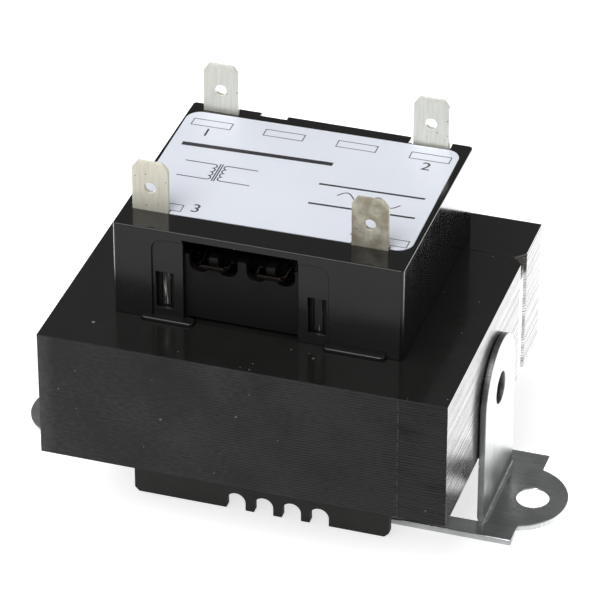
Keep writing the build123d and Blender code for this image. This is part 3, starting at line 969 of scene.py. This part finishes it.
class TRANSFORMER_OT_stage(bpy.types.Operator):
    """Plain floor, soft light and the camera"""

    bl_idname = "transformer.stage"
    bl_label = "Stage"

    def rays(self, tree):
        """1 for rays straight to the eye, and 1 for rays from a reflection."""
        path = add_node(tree, "LightPath", {}).outputs
        direct = joined(tree, path["Is Camera Ray"], path["Is Transmission Ray"], "MAXIMUM")
        return direct, path["Is Glossy Ray"]

    def floor(self, look):
        """Wide floor that keeps the shadow, lit towards the rear so that glossy sides mirror white."""
        room, half_width = 0.02 * MM, 6.0
        form = bmesh.new()
        bmesh.ops.create_grid(form, x_segments=8, y_segments=8, size=half_width)
        for vert in form.verts:
            vert.co.z = CAD_LOW.z - room
        mesh = bpy.data.meshes.new("floor")
        form.to_mesh(mesh)
        form.free()
        floor = bpy.data.objects.new("floor", mesh)
        bpy.context.scene.collection.objects.link(floor)
        material = bpy.data.materials.new("floor_paper")
        material.use_nodes = True
        tree = material.node_tree
        tree.nodes.clear()
        paper = add_node(tree, "BsdfDiffuse", {"Color": (*look.floor, 1.0)}).outputs[0]
        direct, mirrored = self.rays(tree)
        place = add_node(tree, "NewGeometry", {}).outputs["Position"]
        depth = add_node(tree, "SeparateXYZ", {"Vector": place}).outputs["Y"]
        fall = {
            "Value": depth,
            "From Min": look.shine_start,
            "From Max": look.shine_end,
            "To Min": look.front_shine,
            "To Max": look.rear_shine,
        }
        shine = add_node(tree, "MapRange", fall, interpolation_type="SMOOTHSTEP").outputs["Result"]
        strength = joined(
            tree,
            joined(tree, direct, look.glow, "MULTIPLY"),
            joined(tree, mirrored, shine, "MULTIPLY"),
        )
        glow = add_node(tree, "Emission", {"Strength": strength}).outputs[0]
        both = add_node(tree, "AddShader", {0: paper, 1: glow}).outputs[0]
        add_node(tree, "OutputMaterial", {"Surface": both})
        mesh.materials.append(material)

    def surround(self, look):
        """White to the eye, dim in reflections, and a low even light on matt surfaces."""
        world = bpy.data.worlds.new("studio")
        bpy.context.scene.world = world
        world.use_nodes = True
        tree = world.node_tree
        tree.nodes.clear()
        direct, mirrored = self.rays(tree)
        white = joined(tree, direct, 1.0 - look.even, "MULTIPLY")
        sky = joined(tree, mirrored, look.sky - look.even, "MULTIPLY")
        strength = joined(tree, joined(tree, white, sky), look.even)
        light = add_node(tree, "Background", {"Strength": strength}).outputs[0]
        add_node(tree, "OutputWorld", {"Surface": light})

    def softbox(self, name, azimuth, elevation, size, radiance):
        """Lamp of this width and height, one metre away, that looks at the object."""
        lamp = bpy.data.lights.new(name, "AREA")
        lamp.shape = "RECTANGLE"
        lamp.size, lamp.size_y = size
        lamp.energy = radiance * math.pi * lamp.size * lamp.size_y
        carrier = bpy.data.objects.new(name, lamp)
        bpy.context.scene.collection.objects.link(carrier)
        towards = from_angles(math.radians(azimuth), math.radians(elevation))
        carrier.location = (CAD_LOW + CAD_HIGH) / 2 + towards
        carrier.rotation_mode = "QUATERNION"
        carrier.rotation_quaternion = (-towards).to_track_quat("-Z", "Y")
        return carrier

    def camera(self, look):
        """Camera at the photograph's angle."""
        camera = bpy.data.cameras.new("camera")
        camera.sensor_width = 36.0
        camera.lens = look.lens
        camera.clip_start, camera.clip_end = 0.01, 50.0
        carrier = bpy.data.objects.new("camera", camera)
        bpy.context.scene.collection.objects.link(carrier)
        back = from_angles(look.azimuth, look.elevation)
        carrier.location = Vector(look.aim) + back * look.distance
        carrier.rotation_mode = "QUATERNION"
        carrier.rotation_quaternion = (-back).to_track_quat("-Z", "Y")
        bpy.context.scene.camera = carrier

    def execute(self, context):
        look = context.scene.transformer_stage
        context.scene.view_settings.view_transform = "Standard"
        self.floor(look)
        self.surround(look)
        lamps = {name: self.softbox(name, **values) for name, values in LAMPS.items()}
        lamps["edge_strip"].visible_diffuse = False
        self.camera(look)
        return {"FINISHED"}


def from_angles(azimuth, elevation):
    """Direction from the object at this turn and height: azimuth 0 is the front, -Y."""
    level = math.cos(elevation)
    return Vector((math.sin(azimuth) * level, -math.cos(azimuth) * level, math.sin(elevation)))


OPERATORS = (
    TRANSFORMER_OT_core,
    TRANSFORMER_OT_welds,
    TRANSFORMER_OT_coil,
    TRANSFORMER_OT_terminals,
    TRANSFORMER_OT_housing,
    TRANSFORMER_OT_label,
    TRANSFORMER_OT_feet,
    TRANSFORMER_OT_stage,
)


class TRANSFORMER_PT_panel(bpy.types.Panel):
    """Lists the steps that dress the transformer"""

    bl_idname = "TRANSFORMER_PT_panel"
    bl_label = "Chassis transformer"
    bl_space_type = "VIEW_3D"
    bl_region_type = "UI"
    bl_category = "Transformer"

    def draw(self, context):
        for operator in OPERATORS:
            self.layout.operator(operator.bl_idname)
        for name, look in LOOKS.items():
            box = self.layout.box()
            for key in look.__annotations__:
                box.prop(getattr(context.scene, name), key)


def register():
    """Registers the classes and hangs the looks on the scene."""
    for name, look in LOOKS.items():
        bpy.utils.register_class(look)
        setattr(bpy.types.Scene, name, PointerProperty(type=look))
    for operator in OPERATORS:
        bpy.utils.register_class(operator)
    bpy.utils.register_class(TRANSFORMER_PT_panel)


def unregister():
    """Takes the classes and looks away again."""
    bpy.utils.unregister_class(TRANSFORMER_PT_panel)
    for operator in reversed(OPERATORS):
        bpy.utils.unregister_class(operator)
    for name, look in LOOKS.items():
        delattr(bpy.types.Scene, name)
        bpy.utils.unregister_class(look)


def main():
    """Dresses the part."""
    register()
    bpy.ops.transformer.core()
    bpy.ops.transformer.welds()
    bpy.ops.transformer.coil()
    bpy.ops.transformer.terminals()
    bpy.ops.transformer.housing()
    bpy.ops.transformer.label()
    bpy.ops.transformer.feet()
    bpy.ops.transformer.stage()


if __name__ == "__main__":
    main()
